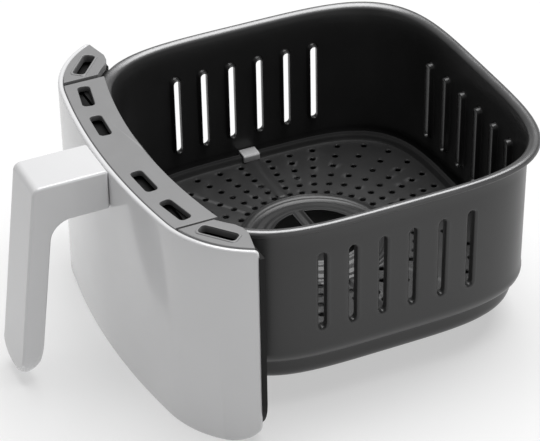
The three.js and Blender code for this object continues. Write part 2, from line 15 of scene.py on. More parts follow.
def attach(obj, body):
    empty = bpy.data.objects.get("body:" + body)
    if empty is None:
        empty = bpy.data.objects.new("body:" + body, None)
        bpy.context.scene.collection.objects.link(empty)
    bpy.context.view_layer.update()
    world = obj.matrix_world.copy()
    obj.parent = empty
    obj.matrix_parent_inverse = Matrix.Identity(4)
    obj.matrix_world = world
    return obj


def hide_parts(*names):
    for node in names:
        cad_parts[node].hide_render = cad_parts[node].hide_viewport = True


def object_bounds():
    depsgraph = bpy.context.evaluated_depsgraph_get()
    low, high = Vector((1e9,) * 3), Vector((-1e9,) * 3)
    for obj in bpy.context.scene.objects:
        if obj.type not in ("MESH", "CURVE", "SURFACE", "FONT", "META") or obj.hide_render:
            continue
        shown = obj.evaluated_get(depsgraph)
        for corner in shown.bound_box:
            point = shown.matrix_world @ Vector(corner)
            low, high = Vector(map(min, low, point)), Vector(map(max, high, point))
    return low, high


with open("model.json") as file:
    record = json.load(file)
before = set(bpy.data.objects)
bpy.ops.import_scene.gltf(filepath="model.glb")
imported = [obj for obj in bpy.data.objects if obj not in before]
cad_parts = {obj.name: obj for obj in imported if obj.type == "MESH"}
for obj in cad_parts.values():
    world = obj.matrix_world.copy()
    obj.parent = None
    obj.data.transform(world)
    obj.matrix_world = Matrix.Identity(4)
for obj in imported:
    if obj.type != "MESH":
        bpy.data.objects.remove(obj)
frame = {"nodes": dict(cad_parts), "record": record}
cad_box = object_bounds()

MM = 0.001


def as_list(corners):
    return [[round(value, 6) for value in corner] for corner in corners]


print("CAD box", as_list(cad_box))

# %% [markdown]
# ## Camera
# A catalogue picture is taken with a long lens from the side and a little above, so that straight edges stay
# nearly parallel. The camera is given by two angles, a small roll, a distance and a sideways aim, and its
# axes are built from those, so there is no tracking constraint to keep.

# %% Camera
AZIMUTH = math.radians(65.6)
ELEVATION = math.radians(34.26)
ROLL = math.radians(-1.05)
DISTANCE = 1.5578
AIM_HEIGHT = 40.7 * MM
AIM_RIGHT = -29.6 * MM
AIM_UP = -3.2 * MM

back = Vector((
    math.sin(AZIMUTH) * math.cos(ELEVATION),
    -math.cos(AZIMUTH) * math.cos(ELEVATION),
    math.sin(ELEVATION),
))
level = Vector((math.cos(AZIMUTH), math.sin(AZIMUTH), 0))
upward = back.cross(level)
right = level * math.cos(ROLL) + upward * math.sin(ROLL)
top = upward * math.cos(ROLL) - level * math.sin(ROLL)
camera_data = bpy.data.cameras.new("camera")
camera_data.lens = 165
camera = bpy.data.objects.new("camera", camera_data)
bpy.context.scene.collection.objects.link(camera)
camera.matrix_world = Matrix((right, top, back)).transposed().to_4x4()
camera.location = back * DISTANCE + right * AIM_RIGHT + top * AIM_UP + Vector((0, 0, AIM_HEIGHT))
bpy.context.scene.camera = camera
print("camera at", [round(value, 3) for value in camera.location])

# %% [markdown]
# ## Floor and studio light
# Appliances are usually shown in a white cove: one huge soft light overhead, broad fills at the side and in
# front, and a pale floor with low walls far off. Floor and walls glow a little, like a light table, so that
# shadows stay faint. Area lights do this well, because their size sets how soft a highlight is. The standard
# view transform keeps the whites clean.

# %% Floor and lights
FLOOR_SIZE = 12                  # metres, as are the wall height and the lights below
WALL_HEIGHT = 1.0
FLOOR_DROP = 0.2                 # millimetres below the lowest point of the object
scene = bpy.context.scene
scene.view_settings.view_transform = "Standard"
scene.view_settings.look = "None"

floor_mesh = bpy.data.meshes.new("floor")
half_floor = FLOOR_SIZE / 2
floor_z = cad_box[0][2] - FLOOR_DROP * MM
floor_mesh.from_pydata(
    [
        (x * half_floor, y * half_floor, floor_z + height)
        for height in (0, WALL_HEIGHT)
        for x, y in ((-1, -1), (1, -1), (1, 1), (-1, 1))
    ],
    [],
    [(0, 1, 2, 3), *((i + 4, (i + 1) % 4 + 4, (i + 1) % 4, i) for i in range(4))],
)
floor = bpy.data.objects.new("floor", floor_mesh)
scene.collection.objects.link(floor)

floor_finish = bpy.data.materials.new("floor paint")
floor_finish.use_nodes = True
floor_shader = floor_finish.node_tree.nodes["Principled BSDF"]
floor_shader.inputs["Base Color"].default_value = (0.38, 0.38, 0.38, 1)
floor_shader.inputs["Emission Color"].default_value = (1, 1, 1, 1)
floor_shader.inputs["Emission Strength"].default_value = 0.5
floor_shader.inputs["Roughness"].default_value = 0.9
floor_shader.inputs["Specular IOR Level"].default_value = 0.1
floor_mesh.materials.append(floor_finish)

world = bpy.data.worlds.new("studio")
world.use_nodes = True
world.node_tree.nodes["Background"].inputs["Color"].default_value = (1, 1, 1, 1)
world.node_tree.nodes["Background"].inputs["Strength"].default_value = 0.1
scene.world = world


def soft_light(name, place, target, size, power):
    """A square area light at a place, turned to face a target. Metres and watts."""
    data = bpy.data.lights.new(name, "AREA")
    data.shape = "SQUARE"
    data.size = size
    data.energy = power
    light = bpy.data.objects.new(name, data)
    light.location = place
    light.rotation_euler = (Vector(target) - Vector(place)).to_track_quat("-Z", "Y").to_euler()
    scene.collection.objects.link(light)
    return light


soft_light("overhead softbox", (-0.3, 0.4, 1.9), (0, 0, 0), 1.8, 62)
soft_light("side fill", (2.2, 0.3, 1.0), (0, 0, 0.05), 1.6, 2.2)
soft_light("front fill", (0.3, -2.2, 0.7), (0, -0.1, 0.05), 1.6, 1)

# %% [markdown]
# ## Finishes
# A moulded or coated surface is never one flat colour. Each finish mixes two close tones with a soft noise,
# varies its roughness with a second one and adds a fine bump, whose size says what the surface is: a pebbled
# coat, a moulded grain, or the faint ripple of polished plastic. Constant values go straight on the shader's
# sockets. Patterns use object coordinates, so they stay put when a piece moves.

# %% One recipe for every finish
def laid_over(tree, under, tone, amount, patches):
    """Lays a tone over a colour by an amount, broken up by the patches so that wear and painted highlights
    are never even.
    """
    broken = tree.nodes.new("ShaderNodeMath")
    broken.operation = "MULTIPLY_ADD"
    broken.inputs[1].default_value = 0.5
    broken.inputs[2].default_value = 0.6
    tree.links.new(patches, broken.inputs[0])
    share = tree.nodes.new("ShaderNodeMath")
    share.operation = "MULTIPLY"
    share.use_clamp = True
    tree.links.new(amount, share.inputs[0])
    tree.links.new(broken.outputs[0], share.inputs[1])
    mixed = tree.nodes.new("ShaderNodeMix")
    mixed.data_type = "RGBA"
    mixed.inputs[7].default_value = (*tone, 1)
    tree.links.new(share.outputs[0], mixed.inputs[0])
    tree.links.new(under, mixed.inputs[6])
    return mixed.outputs[2]


def finish(
    name, tones, rough, patch=40.0, grain=900.0, bump=0.02, metal=0.0, coat=0.0, edge=None,
    highlight_tone=None, shine=0.5,
):
    """tones and rough are pairs, the low and high end of the variation. patch and grain are noise scales, and
    bump is the grain's height in millimetres. edge is a tone for worn edges, and where it is much lighter it
    is also a painted highlight. The tone after it is a painted highlight, with some metal, laid where the
    point attribute marks."""
    made = bpy.data.materials.new(name)
    made.use_nodes = True
    tree = made.node_tree
    shader = tree.nodes["Principled BSDF"]
    shader.inputs["Metallic"].default_value = metal
    shader.inputs["Coat Weight"].default_value = coat
    shader.inputs["Coat Roughness"].default_value = 0.08
    shader.inputs["Specular IOR Level"].default_value = shine
    place = tree.nodes.new("ShaderNodeTexCoord").outputs["Object"]

    patches = tree.nodes.new("ShaderNodeTexNoise")
    patches.inputs["Scale"].default_value = patch
    patches.inputs["Detail"].default_value = 4
    tree.links.new(place, patches.inputs["Vector"])
    colour = tree.nodes.new("ShaderNodeMix")
    colour.data_type = "RGBA"
    for socket, tone in zip((colour.inputs[6], colour.inputs[7]), tones):
        socket.default_value = (*tone, 1)
    tree.links.new(patches.outputs["Fac"], colour.inputs[0])

    surface = colour.outputs[2]
    # Convex edges, found by pointiness, get the edge tone. This is edge wear, and where that tone is much
    # lighter it is also a painted highlight along the edges.
    if edge:
        sharp = tree.nodes.new("ShaderNodeNewGeometry")
        edge_wear_and_highlight = tree.nodes.new("ShaderNodeMapRange")
        edge_wear_and_highlight.inputs["From Min"].default_value = 0.53
        edge_wear_and_highlight.inputs["From Max"].default_value = 0.66
        tree.links.new(sharp.outputs["Pointiness"], edge_wear_and_highlight.inputs["Value"])
        surface = laid_over(tree, surface, edge, edge_wear_and_highlight.outputs["Result"], patches.outputs["Fac"])
    # Painted highlight: where the point attribute marks, a lighter tone is laid on and the surface turns
    # partly metallic.
    if highlight_tone:
        highlight_mask = tree.nodes.new("ShaderNodeAttribute")
        highlight_mask.attribute_name = "rub"
        surface = laid_over(tree, surface, highlight_tone, highlight_mask.outputs["Fac"], patches.outputs["Fac"])
        highlight_metal = tree.nodes.new("ShaderNodeMath")
        highlight_metal.operation = "MULTIPLY"
        highlight_metal.inputs[1].default_value = 0.7
        tree.links.new(highlight_mask.outputs["Fac"], highlight_metal.inputs[0])
        tree.links.new(highlight_metal.outputs[0], shader.inputs["Metallic"])
    tree.links.new(surface, shader.inputs["Base Color"])

    speckle = tree.nodes.new("ShaderNodeTexNoise")
    speckle.inputs["Scale"].default_value = grain
    speckle.inputs["Detail"].default_value = 2
    tree.links.new(place, speckle.inputs["Vector"])
    sheen = tree.nodes.new("ShaderNodeMapRange")
    sheen.inputs["To Min"].default_value = rough[0]
    sheen.inputs["To Max"].default_value = rough[1]
    tree.links.new(patches.outputs["Fac"], sheen.inputs["Value"])
    tree.links.new(sheen.outputs["Result"], shader.inputs["Roughness"])
    relief = tree.nodes.new("ShaderNodeBump")
    relief.inputs["Strength"].default_value = 1
    relief.inputs["Distance"].default_value = bump * MM
    tree.links.new(speckle.outputs["Fac"], relief.inputs["Height"])
    tree.links.new(relief.outputs["Normal"], shader.inputs["Normal"])
    return made


def grey(level):
    return (level, level, level * 1.01)


# %% The drawer's six finishes
# The white plastic's edge tone is far lighter than the plastic. It is a painted highlight along its rounded
# edges.
white_plastic = finish(
    "gloss white plastic", (grey(0.64), grey(0.67)), (0.12, 0.18), 25, 260, 0.004, coat=0.3, edge=grey(0.86),
)
grey_plastic = finish(
    "grained grey plastic", (grey(0.19), grey(0.215)), (0.42, 0.55), 60, 1600, 0.03, edge=grey(0.3),
)
dark_plastic = finish(
    "grained dark plastic", (grey(0.007), grey(0.011)), (0.45, 0.58), 60, 1600, 0.03,
    edge=grey(0.018), shine=0.12,
)
# The coat's lighter edge tone is edge wear plus a painted highlight on the rolled bead. Its last tone is the
# painted highlight along the rim's crest.
non_stick = finish(
    "pebbled non-stick coat", (grey(0.022), grey(0.030)), (0.28, 0.38), 50, 1300, 0.02,
    edge=grey(0.07), highlight_tone=grey(0.2),
)
silicone = finish("pale silicone", (grey(0.55), grey(0.62)), (0.4, 0.55), 80, 1200, 0.01, edge=grey(0.7))
zinc = finish(
    "zinc-plated steel", (grey(0.42), grey(0.56)), (0.25, 0.42), 90, 500, 0.01, metal=1.0, edge=grey(0.7),
)
finish_of_slot = {
    "white_plastic": white_plastic,
    "grey_plastic": grey_plastic,
    "dark_plastic": dark_plastic,
    "non_stick": non_stick,
    "silicone": silicone,
    "steel": zinc,
}
slot_of_node = {row["node"]: row["material_slot"] for row in frame["record"]["subparts"]}
for node, part in frame["nodes"].items():
    part.data.materials.clear()
    part.data.materials.append(finish_of_slot[slot_of_node[node]])
print(len(finish_of_slot), "finishes on", len(slot_of_node), "CAD nodes")

# %% [markdown]
# ## Shop tools
# Four small tools make nearly every piece. The first turns points in millimetres into an object. The second
# bakes an object's modifiers into a plain mesh. The third merges loose corners, turns all faces outwards and
# marks the edges that should look crisp. The last cuts one piece with another.

# %% Points, modifiers and edges
def new_piece(name, points, faces):
    """An object from points in millimetres, with its faces turned outwards."""
    mesh = bpy.data.meshes.new(name)
    mesh.from_pydata([Vector(point) * MM for point in points], [], faces)
    shape = bmesh.new()
    shape.from_mesh(mesh)
    bmesh.ops.recalc_face_normals(shape, faces=shape.faces)
    shape.to_mesh(mesh)
    shape.free()
    piece = bpy.data.objects.new(name, mesh)
    scene.collection.objects.link(piece)
    return piece


def settle(piece):
    """Bakes the live modifiers into a plain mesh."""
    evaluated = piece.evaluated_get(bpy.context.evaluated_depsgraph_get())
    mesh = bpy.data.meshes.new_from_object(evaluated)
    piece.modifiers.clear()
    piece.data = mesh
    mesh.name = piece.name


def close_up(piece, crisp=34, flat_top=False):
    """Merges doubles, turns faces outwards and marks edges sharper than an angle in degrees. With flat_top,
    level faces are shaded flat, so that rounded edges beside them leave no streaks."""
    shape = bmesh.new()
    shape.from_mesh(piece.data)
    bmesh.ops.remove_doubles(shape, verts=shape.verts, dist=0.004 * MM)
    bmesh.ops.dissolve_degenerate(shape, edges=shape.edges, dist=0.002 * MM)
    bmesh.ops.recalc_face_normals(shape, faces=shape.faces)
    for face in shape.faces:
        face.smooth = not (flat_top and abs(face.normal.z) > 0.9999)
    for edge in shape.edges:
        edge.smooth = edge.calc_face_angle(0) < math.radians(crisp)
    open_edges = sum(1 for edge in shape.edges if not edge.is_manifold)
    shape.to_mesh(piece.data)
    shape.free()
    print(piece.name, len(piece.data.polygons), "faces,", open_edges, "open edges")


def cut(piece, tool, operation="DIFFERENCE"):
    """Cuts a piece with a tool, or keeps only what they share, and throws the tool away."""
    modifier = piece.modifiers.new("cut", "BOOLEAN")
    modifier.solver = "MANIFOLD"
    modifier.operation = operation
    modifier.object = tool
    settle(piece)
    bpy.data.objects.remove(tool)


# %% Outlines, prisms and turned shapes
def ease(value):
    """A smooth step from 0 to 1."""
    value = min(max(value, 0), 1)
    return value * value * (3 - 2 * value)


def arc(centre_x, centre_y, radius, start, stop, steps):
    angles = (math.radians(start + (stop - start) * i / steps) for i in range(steps + 1))
    return [(centre_x + radius * math.cos(a), centre_y + radius * math.sin(a)) for a in angles]


def prism(name, outline, low, high, place=lambda a, b, depth: (a, b, depth)):
    """A closed outline given a depth. place says where each outline point goes."""
    count = len(outline)
    points = [place(a, b, depth) for depth in (low, high) for a, b in outline]
    faces = [tuple(range(count))[::-1], tuple(range(count, 2 * count))]
    for i in range(count):
        after = (i + 1) % count
        faces.append((i, after, after + count, i + count))
    return new_piece(name, points, faces)


def turned(name, profile, steps, place=lambda r, angle, z: (r * math.cos(angle), r * math.sin(angle), z)):
    """A profile of (radius, height) pairs turned about an axis. It starts and ends on the axis."""
    points = []
    rings = []
    for r, z in profile:
        turns = 1 if r == 0 else steps
        rings.append([len(points) + i for i in range(turns)])
        points += [place(r, 2 * math.pi * i / steps, z) for i in range(turns)]
    faces = []
    for low, high in zip(rings, rings[1:]):
        for i in range(steps):
            a, b = low[i % len(low)], low[(i + 1) % len(low)]
            c, d = high[(i + 1) % len(high)], high[i % len(high)]
            faces.append(tuple(dict.fromkeys((a, b, c, d))))
    return new_piece(name, points, faces)


def hoop(name, section, outline, place):
    """A closed hoop. Each (growth, depth) of its section gives one loop of the outline, grown so far."""
    loops = [[place(a, b, depth) for a, b in outline(growth)] for growth, depth in section]
    around = len(loops[0])
    faces = []
    for row in range(len(loops)):
        here, after = row * around, (row + 1) % len(loops) * around
        for i in range(around):
            beside = (i + 1) % around
            faces.append((here + i, here + beside, after + beside, after + i))
    return new_piece(name, [point for loop in loops for point in loop], faces)


def round_edges(piece, width, segments=3, angle=50):
    modifier = piece.modifiers.new("rounded edges", "BEVEL")
    modifier.limit_method = "ANGLE"
    modifier.angle_limit = math.radians(angle)
    modifier.width = width * MM
    modifier.segments = segments
    settle(piece)


def hand_over(piece, body, slot, nodes):
    """Gives a finished piece its finish and its body, and hides the CAD nodes it stands for."""
    piece.data.materials.clear()
    piece.data.materials.append(finish_of_slot[slot])
    for face in piece.data.polygons:
        face.material_index = 0
    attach(piece, body)
    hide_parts(*nodes)


# %% [markdown]
# Slots, perforations, screws and rivets are copies of one form. A Geometry Nodes tree sets a copy of a piece
# on each point of a station mesh, turned as the point's own attribute says. Its inputs are the piece, a size
# and the finish, so one tree serves them all. Realize Instances makes the copies real mesh.

# %% One tree that sets out copies
copies_tree = bpy.data.node_groups.new("copies at stations", "GeometryNodeTree")
copies_inputs = {}
for label, kind in (("Stations", "Geometry"), ("Piece", "Object"), ("Size", "Float"), ("Finish", "Material")):
    socket = copies_tree.interface.new_socket(label, in_out="INPUT", socket_type=f"NodeSocket{kind}")
    copies_inputs[label] = socket.identifier
copies_tree.interface.new_socket("Copies", in_out="OUTPUT", socket_type="NodeSocketGeometry")
step = {
    name: copies_tree.nodes.new(kind)
    for name, kind in (
        ("in", "NodeGroupInput"), ("piece", "GeometryNodeObjectInfo"),
        ("turn", "GeometryNodeInputNamedAttribute"), ("rotation", "FunctionNodeEulerToRotation"),
        ("set out", "GeometryNodeInstanceOnPoints"), ("real", "GeometryNodeRealizeInstances"),
        ("finish", "GeometryNodeSetMaterial"), ("out", "NodeGroupOutput"),
    )
}
step["turn"].data_type = "FLOAT_VECTOR"
step["turn"].inputs["Name"].default_value = "turn"
for source, output, target, entry in (
    ("in", "Stations", "set out", "Points"), ("in", "Piece", "piece", "Object"),
    ("piece", "Geometry", "set out", "Instance"), ("turn", "Attribute", "rotation", "Euler"),
    ("rotation", "Rotation", "set out", "Rotation"), ("in", "Size", "set out", "Scale"),
    ("set out", "Instances", "real", "Geometry"), ("real", "Geometry", "finish", "Geometry"),
    ("in", "Finish", "finish", "Material"), ("finish", "Geometry", "out", "Copies"),
):
    copies_tree.links.new(step[source].outputs[output], step[target].inputs[entry])


def copies(name, form, stations, material, size=1.0):
    """Copies of a form at stations of (point in millimetres, 3 × 3 turn). The form is thrown away."""
    piece = new_piece(name, [point for point, turn in stations], [])
    turns = piece.data.attributes.new("turn", "FLOAT_VECTOR", "POINT")
    for entry, (point, turn) in zip(turns.data, stations):
        entry.vector = turn.to_euler("XYZ")
    modifier = piece.modifiers.new("copies", "NODES")
    modifier.node_group = copies_tree
    modifier[copies_inputs["Piece"]] = form
    modifier[copies_inputs["Size"]] = size
    modifier[copies_inputs["Finish"]] = material
    settle(piece)
    bpy.data.objects.remove(form)
    print(name, len(stations), "copies")
    return piece


def facing(outward):
    """A turn whose local Y points inwards, against the outward direction, and whose local Z points up."""
    inward = -Vector(outward).normalized()
    across = inward.cross(Vector((0, 0, 1))).normalized()
    return Matrix((across, inward, across.cross(inward))).transposed()


# %% [markdown]
# ## Basket
# The pan is drawn from one sheet. Its plan is a squircle, a shape between a square and a circle, so its
# sides bow a little and its corners are wide. A profile turned round a squircle gives that form, with the
# foot, the soft shoulder and the rolled rim all in one closed skin. The air slots are punched afterwards,
# and each has its edge rolled inwards, which stiffens the sheet and leaves no burr.

# %% The drawn pan
SQUARENESS = 4.1
SHEET = 1.5
WALL_HALF = 110.0
WALL_DRAFT = 0.7
RIM_HALF = 117.2
RIM_TOP = 119.8
BEAD = 2.3
ROLL = 4.6                       # the wider roll on the inside of the rim
FOOT_HALF = 102.0
FOOT_ROUND = 10.0
FOOT_DEPTH_SCALE = 1.045
SHOULDER_Z = 29.0
SHOULDER = 14.0
SHOULDER_TURN = 62
NECK = RIM_TOP - 12              # where the straight wall ends and opens into the rim
draft_rise = NECK - SHOULDER_Z


def squircle_reach(angle):
    """How far a squircle of half-width 1 reaches in a direction."""
    total = abs(math.cos(angle)) ** SQUARENESS + abs(math.sin(angle)) ** SQUARENESS
    return total ** (-1 / SQUARENESS)


def on_pan(r, angle, z):
    below = min(max((SHOULDER_Z - z) / SHOULDER, 0), 1)
    deeper = 1 + (FOOT_DEPTH_SCALE - 1) * below
    reach = r * squircle_reach(angle)
    return (reach * math.cos(angle), reach * math.sin(angle) * deeper, z)


wall_top = WALL_HALF + WALL_DRAFT


def wall_rings(thickness):
    """Rings up the straight wall, close together near the ends of the slots."""
    for z in (34, 38, 43, 54, 65, 76, 87, 94, 98.5, 103):
        yield (WALL_HALF + WALL_DRAFT * (z - SHOULDER_Z) / draft_rise - thickness, z)


crease = SHOULDER_Z - SHOULDER
foot_middle = FOOT_HALF - FOOT_ROUND
shoulder_middle = WALL_HALF - SHOULDER
pan_profile = [
    (0, 0), (30, 0), (60, 0),
    *arc(foot_middle, FOOT_ROUND, FOOT_ROUND, -90, 0, 8),
    (FOOT_HALF, crease - 0.6), (FOOT_HALF + 0.1, crease + 0.4),
    *arc(shoulder_middle, SHOULDER_Z, SHOULDER, -SHOULDER_TURN, 0, 12),
    *wall_rings(0), (wall_top, NECK), (wall_top + 0.7, RIM_TOP - 7),
    *arc(RIM_HALF - BEAD, RIM_TOP - BEAD, BEAD, -70, 84, 12),
    *arc(RIM_HALF - BEAD, RIM_TOP - ROLL, ROLL, 90, 158, 8),
    (wall_top - SHEET + 0.5, RIM_TOP - 7), (wall_top - SHEET, NECK),
    *reversed(list(wall_rings(SHEET))),
    *arc(shoulder_middle, SHOULDER_Z, SHOULDER - SHEET, 0, -SHOULDER_TURN, 12),
    (FOOT_HALF - SHEET, crease + 1),
    *arc(foot_middle, FOOT_ROUND, FOOT_ROUND - SHEET, 0, -90, 8),
    (60, SHEET), (30, SHEET), (0, SHEET),
]
basket = turned("basket", pan_profile, 192, on_pan)

# %% [markdown]
# Each slot station lies on the wall's outer face. The face leans out by its draft and turns with the
# squircle, so the station's outward direction is worked out from both.

# %% Where the slots are
SLOT_WIDTH = 5.8
SLOT_BOTTOM = 40.7
SLOT_TOP = 95.9
SLOT_COUNT = 6
SIDE_PITCH = 19.65
BACK_PITCH = 20.6
slot_z = (SLOT_BOTTOM + SLOT_TOP) / 2
slot_run = (SLOT_TOP - SLOT_BOTTOM - SLOT_WIDTH) / 2
wall_at_slot = WALL_HALF + WALL_DRAFT * (slot_z - SHOULDER_Z) / draft_rise


def slot_station(along, side):
    """side is 'right', 'left' or 'back', and along is measured from the middle of that wall."""
    away = wall_at_slot * (1 - abs(along / wall_at_slot) ** SQUARENESS) ** (1 / SQUARENESS)
    lean = math.copysign(abs(along / away) ** (SQUARENESS - 1), along)
    fall = -WALL_DRAFT / draft_rise
    if side == "back":
        return ((along, away, slot_z), facing((lean, 1, fall)))
    sign = 1 if side == "right" else -1
    return ((sign * away, along, slot_z), facing((sign, lean, fall)))


slot_stations = [
    slot_station((i - (SLOT_COUNT - 1) / 2) * (BACK_PITCH if side == "back" else SIDE_PITCH), side)
    for side in ("right", "left", "back")
    for i in range(SLOT_COUNT)
]
print(len(slot_stations), "slots")


# %% Punched slots with rolled lips
LIP_ROUND = 2.0
LIP_DEPTH = 5.0
LIP_SHEET = 0.9
LIP_LAP = 0.25
THROAT = -0.65                   # the rolled lips leave a throat narrower than the slot


def slot_outline(offset, steps=7):
    radius = SLOT_WIDTH / 2 + THROAT + offset
    return [*arc(0, slot_run, radius, 0, 180, steps), *arc(0, -slot_run, radius, 180, 360, steps)]


punch = prism("punch", slot_outline(LIP_ROUND), -3, 6, lambda a, b, depth: (a, depth, b))
cut(basket, copies("slot punches", punch, slot_stations, None))

lip_section = [
    (LIP_ROUND + LIP_LAP, 0.03),
    *((LIP_ROUND + x, LIP_ROUND + y) for x, y in arc(0, 0, LIP_ROUND, 270, 180, 5)),
    (0, LIP_DEPTH - 0.5), (0.15, LIP_DEPTH - 0.1), (LIP_SHEET / 2, LIP_DEPTH),
    (LIP_SHEET - 0.15, LIP_DEPTH - 0.1), (LIP_SHEET, LIP_DEPTH - 0.5),
    (LIP_SHEET, LIP_ROUND), (LIP_ROUND, LIP_SHEET + 0.1), (LIP_ROUND + LIP_LAP, LIP_SHEET + 0.1),
]
lip = hoop("lip", lip_section, slot_outline, lambda a, b, depth: (a, depth, b))
lips = copies("slot_lips", lip, slot_stations, non_stick)
close_up(basket)
close_up(lips, 60)


# %% [markdown]
# A painted highlight runs along the crest of the rolled rim, standing in for the bright line of light there.
# A point attribute says how much, and the finish of the pan reads it.

# %% Where the rim's painted highlight goes
def mark_painted_highlight(piece, amount):
    """Stores how much painted highlight each point gets, from 0 to 1, worked out from its place in
    millimetres.
    """
    rub = piece.data.attributes.new("rub", "FLOAT", "POINT")
    for entry, vertex in zip(rub.data, piece.data.vertices):
        entry.value = amount(vertex.co / MM)


def join(first, *others):
    """Adds the other pieces' meshes to the first one."""
    shape = bmesh.new()
    for piece in (first, *others):
        shape.from_mesh(piece.data)
    shape.to_mesh(first.data)
    shape.free()
    for piece in others:
        bpy.data.objects.remove(piece)


join(basket, lips)
# Painted highlight on the crest of the bead, rising over its top.
mark_painted_highlight(basket, lambda p: ease((p.z - RIM_TOP + 1.2 * BEAD) / BEAD))
hand_over(basket, "drawer", "non_stick", ["basket_pan"])

# %% [markdown]
# ## Crisper plate
# The plate is one pressing whose height follows a rule: a flat floor, a stiffening ring, a rib that runs
# out to the clip on each side, a raised lip round each window of the hub and a stepped rim. A fine polar grid
# takes that height rule on its top and the same rule less the sheet below. The rows of holes start as circles
# near the ring and end as squircles near the rim.

# %% The pressed form
PLATE_HALF = 105.0
PLATE_FLOOR = 23.8
PLATE_RIM = 27.4
PLATE_SHEET = 1.2
RIM_STEP = 100.2                 # where the rim steps up
HOLE_ROWS = 6
FIRST_LINE = 6
LINE_STEP = 9
FIRST_ROW = 52.5
LAST_ROW = 94.5
RING = 48.0
GROOVE = 42.0
HUB_RISE = 35.5
HUB_INNER = 9.0
HUB_OUTER = 28.5
SPOKE_HALF = 4.0
RING_HEIGHT = 1.5
GROOVE_DEPTH = 1.0
HUB_HEIGHT = 0.9
RIB_HALF = 4.2
RIB_END = 101.0
RIB_HEIGHT = 1.3
WINDOW_LIP = 1.3


def plate_reach(r, angle):
    towards_rim = min(max((r - FIRST_ROW) / (LAST_ROW - FIRST_ROW), 0), 1)
    return r * (1 + (squircle_reach(angle) - 1) * towards_rim)


def plate_height(r, x, y):
    height = PLATE_FLOOR
    height += RING_HEIGHT * ease(1 - abs(r - RING) / 2.2)
    height -= GROOVE_DEPTH * ease(1 - abs(r - GROOVE) / 1.8)
    height += HUB_HEIGHT * ease((HUB_RISE - r) / 1.6)
    rib = ease((RIB_HALF - abs(y)) / 2) * ease((r - RING) / 3) * ease((RIB_END - r) / 4)
    height += RIB_HEIGHT * rib
    outside_window = max(HUB_INNER - r, r - HUB_OUTER, SPOKE_HALF - abs(x), SPOKE_HALF - abs(y))
    height += WINDOW_LIP * ease(1 - abs(outside_window - 0.3) / 2.2)
    return height + (PLATE_RIM - PLATE_FLOOR) * ease((r - RIM_STEP) / 1.6)


plate_radii = [
    0, 3, 5.5, *(7 + 0.8 * i for i in range(56)), 52.4,
    *(54 + 3.8 * i for i in range(12)), 98, 99.6, *(RIM_STEP + 0.4 * i for i in range(6)), 103.6,
    PLATE_HALF,
]
PLATE_STEPS = 240


def on_plate(r, angle, under):
    """A point on the plate's top, or with under set, on its underside."""
    reach = plate_reach(r, angle)
    x, y = reach * math.cos(angle), reach * math.sin(angle)
    return (x, y, plate_height(r, x, y) - (PLATE_SHEET if under else 0))


plate_profile = [*((r, 1) for r in plate_radii), *((r, 0) for r in reversed(plate_radii))]
plate = turned("crisper_plate_pressing", plate_profile, PLATE_STEPS, on_plate)

# %% [markdown]
# The holes are punched from above, which leaves a small dished mouth, so the punch is wider at its top.

# %% Perforations and hub windows
HOLE_RADIUS = 1.95
MOUTH_RADIUS = HOLE_RADIUS + 0.7
punch_profile = [
    (0, -6), (HOLE_RADIUS, -6), (HOLE_RADIUS, -0.5), (MOUTH_RADIUS, 0.15), (MOUTH_RADIUS, 6), (0, 6),
]
upright_turn = Matrix.Identity(3)
hole_stations = []
for row in range(HOLE_ROWS):
    r = FIRST_ROW + (LAST_ROW - FIRST_ROW) * row / (HOLE_ROWS - 1)
    for quarter in range(4):
        for line in range(10):
            angle = math.radians(FIRST_LINE + LINE_STEP * line)
            turn_x, turn_y = ((1, 1), (-1, 1), (-1, -1), (1, -1))[quarter]
            reach = plate_reach(r, angle)
            point = (turn_x * reach * math.cos(angle), turn_y * reach * math.sin(angle), PLATE_FLOOR)
            hole_stations.append((point, upright_turn))
cut(plate, copies("plate punches", turned("punch", punch_profile, 12), hole_stations, None))


def window_outline():
    """One hub window: two arcs and two straight sides beside the spokes."""
    outline = []
    for radius, forward in ((HUB_OUTER, True), (HUB_INNER, False)):
        side = math.degrees(math.asin(SPOKE_HALF / radius))
        start, stop = (side, 90 - side) if forward else (90 - side, side)
        outline += arc(0, 0, radius, start, stop, 12)
    return outline


window = prism("window", window_outline(), -5, 8)
quarter_turns = [((0, 0, PLATE_FLOOR), Matrix.Rotation(math.radians(90 * i), 3, "Z")) for i in range(4)]
cut(plate, copies("window punches", window, quarter_turns, None))
close_up(plate, 40)
hand_over(plate, "crisper", "non_stick", ["crisper_plate"])

# %% [markdown]
# ## Silicone bumpers
# Each bumper is a soft moulded clip that hooks over the plate's rim and rubs on the basket's wall. Its
# section is drawn once, given the clip's width, and all its edges are rounded, because silicone has none.

